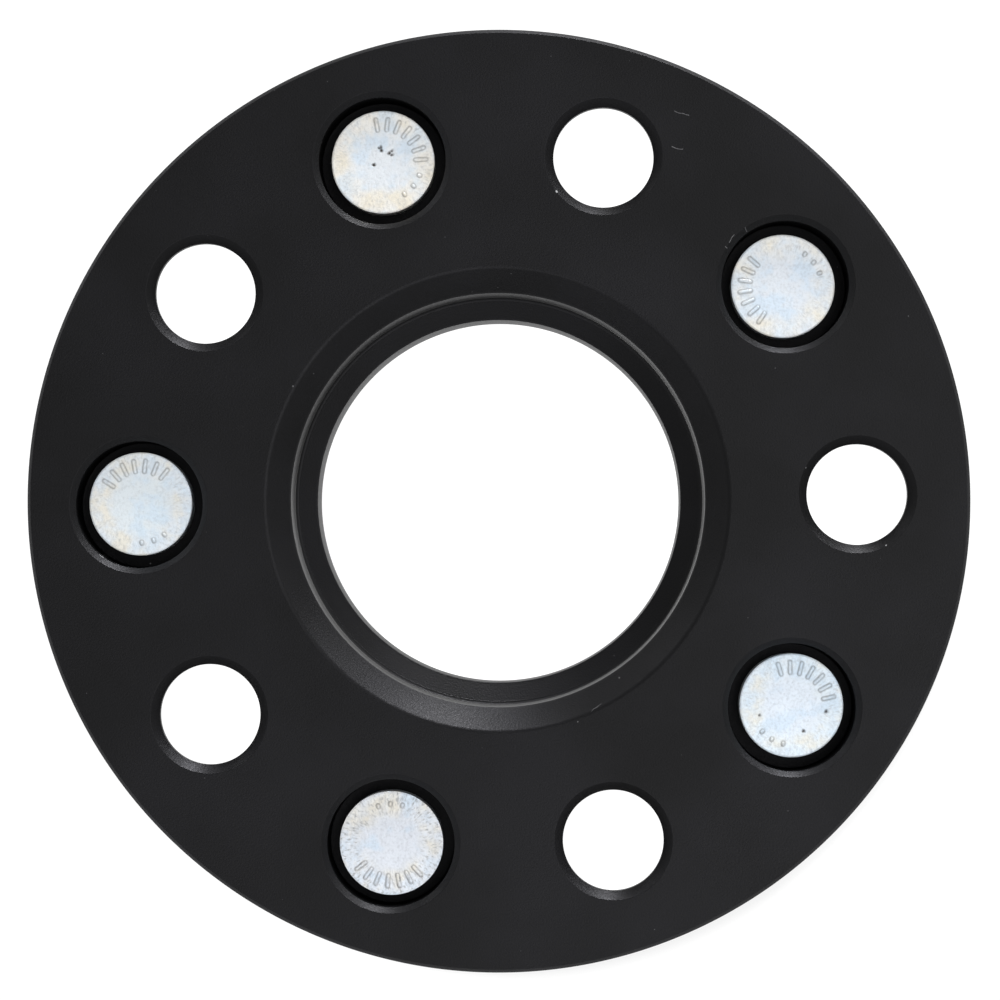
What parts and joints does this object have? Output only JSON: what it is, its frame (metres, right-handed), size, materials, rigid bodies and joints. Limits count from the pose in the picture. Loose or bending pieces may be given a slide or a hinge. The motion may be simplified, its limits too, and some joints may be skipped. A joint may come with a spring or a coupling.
{
  "type": "wheel spacer",
  "caption": "Black bolt-on wheel spacer: a round aluminium plate with a hub bore, lug holes and pressed-in wheel studs that moves a wheel outwards.",
  "frame": {"origin": "on the axis of the bore, at the height of the five stud tips that the part stands on", "axes": "+Z along the bore, from the wheel side to the face that bolts to the hub; +X towards the first lug hole, less one degree"},
  "size_m": [0.15, 0.15, 0.042],
  "materials": {
    "anodised_aluminium": "satin black anodised, turned and milled",
    "zinc_plated_steel": "pale zinc plated, forged heads, rolled threads"
  },
  "bodies": {
    "root": {"spacer_body": "anodised_aluminium", "wheel_stud_1": "zinc_plated_steel", "wheel_stud_2": "zinc_plated_steel", "wheel_stud_3": "zinc_plated_steel", "wheel_stud_4": "zinc_plated_steel", "wheel_stud_5": "zinc_plated_steel"}
  },
  "joints": []
}
